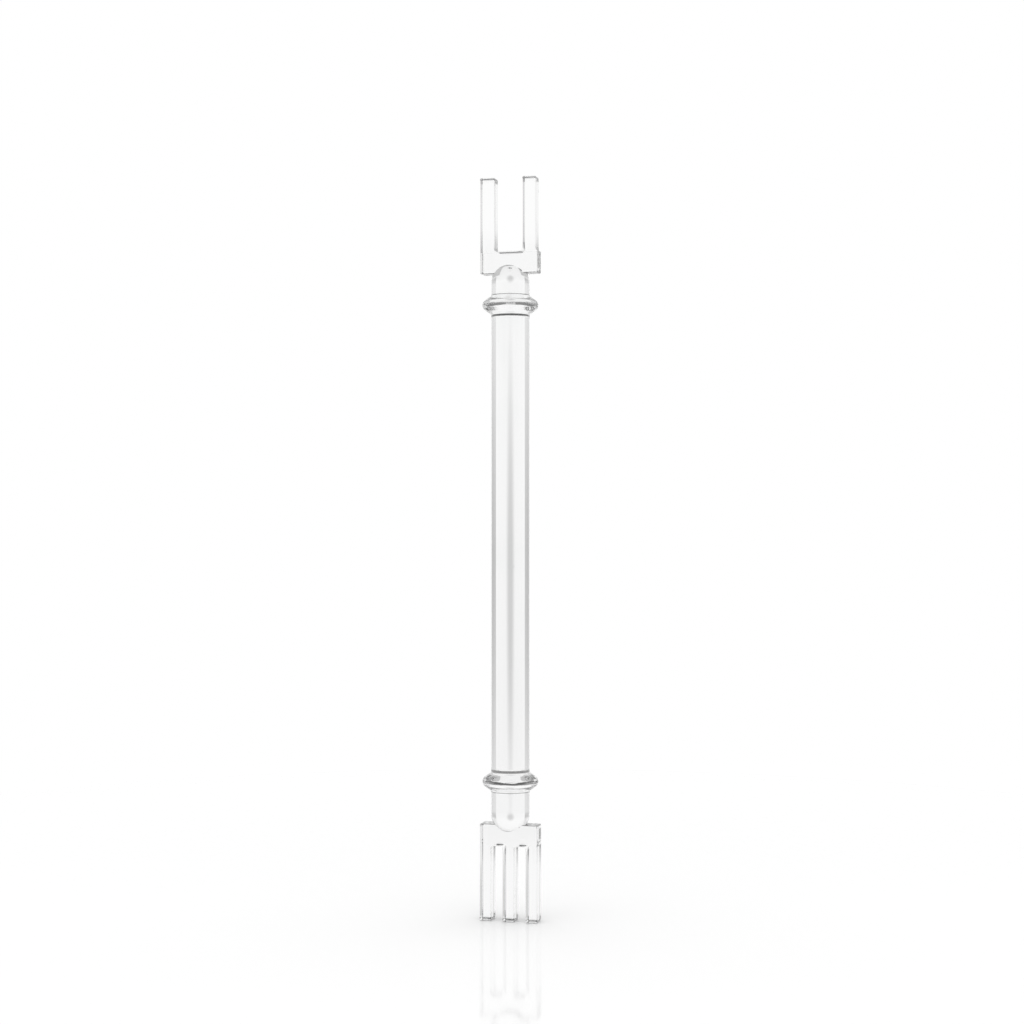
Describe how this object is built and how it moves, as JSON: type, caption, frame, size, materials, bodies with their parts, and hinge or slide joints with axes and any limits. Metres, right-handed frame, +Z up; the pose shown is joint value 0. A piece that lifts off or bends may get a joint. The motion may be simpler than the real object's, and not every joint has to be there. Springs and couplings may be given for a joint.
{
  "type": "fork-ended glass rod",
  "caption": "Clear solid glass rod with a bead collar near each domed end, a U-shaped fork fused on top and a comb-shaped fork below that it stands on.",
  "frame": {"origin": "centre of the standing plane under the three feet, on the rod's axis", "axes": "+Z up along the rod's axis, +X across the forks towards the inset upper tine, Y square to the flat faces of both forks"},
  "size_m": [0.02, 0.0188, 0.25],
  "materials": {
    "clear_glass": "fire-polished clear borosilicate"
  },
  "bodies": {
    "root": {"shaft": "clear_glass", "lower_collar": "clear_glass", "upper_collar": "clear_glass", "lower_stem": "clear_glass", "upper_stem": "clear_glass", "lower_crossbar": "clear_glass", "upper_crossbar": "clear_glass", "lower_left_tine": "clear_glass", "lower_middle_tine": "clear_glass", "lower_right_tine": "clear_glass", "upper_left_tine": "clear_glass", "upper_right_tine": "clear_glass"}
  },
  "joints": []
}
